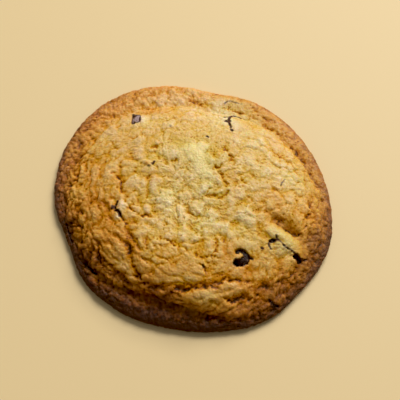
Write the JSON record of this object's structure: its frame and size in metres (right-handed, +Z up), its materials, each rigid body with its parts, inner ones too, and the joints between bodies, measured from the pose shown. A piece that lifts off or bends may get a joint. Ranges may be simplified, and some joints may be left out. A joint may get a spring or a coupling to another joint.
{
  "type": "chocolate chip cookie",
  "caption": "Large round chocolate chip cookie with a soft slumped dome, a thin browned skirt, a fold over it at the front left, and chips showing through the crust.",
  "frame": {"origin": "middle of the flat underside, at the bottom centre of the bounding box", "axes": "+Z up out of the flat underside, +X to the right along the cookie's longest extent, +Y to the back; the fold faces -X and -Y"},
  "size_m": [0.1043, 0.101, 0.0157],
  "materials": {
    "baked_dough": "matt, porous, browned at the rim; stands in for baked dough",
    "chocolate": "satin, partly bloomed; stands in for dark chocolate"
  },
  "bodies": {
    "root": {"cookie_dough": "baked_dough", "chip_back_left": "chocolate", "chip_back_right": "chocolate", "chip_back_rim": "chocolate", "chip_left": "chocolate", "chip_front": "chocolate", "chip_right_upper": "chocolate", "chip_right_lower": "chocolate", "chip_right_middle": "chocolate", "chip_middle": "chocolate", "chip_left_rim": "chocolate", "chip_fold": "chocolate", "chip_front_rim": "chocolate"}
  },
  "joints": []
}
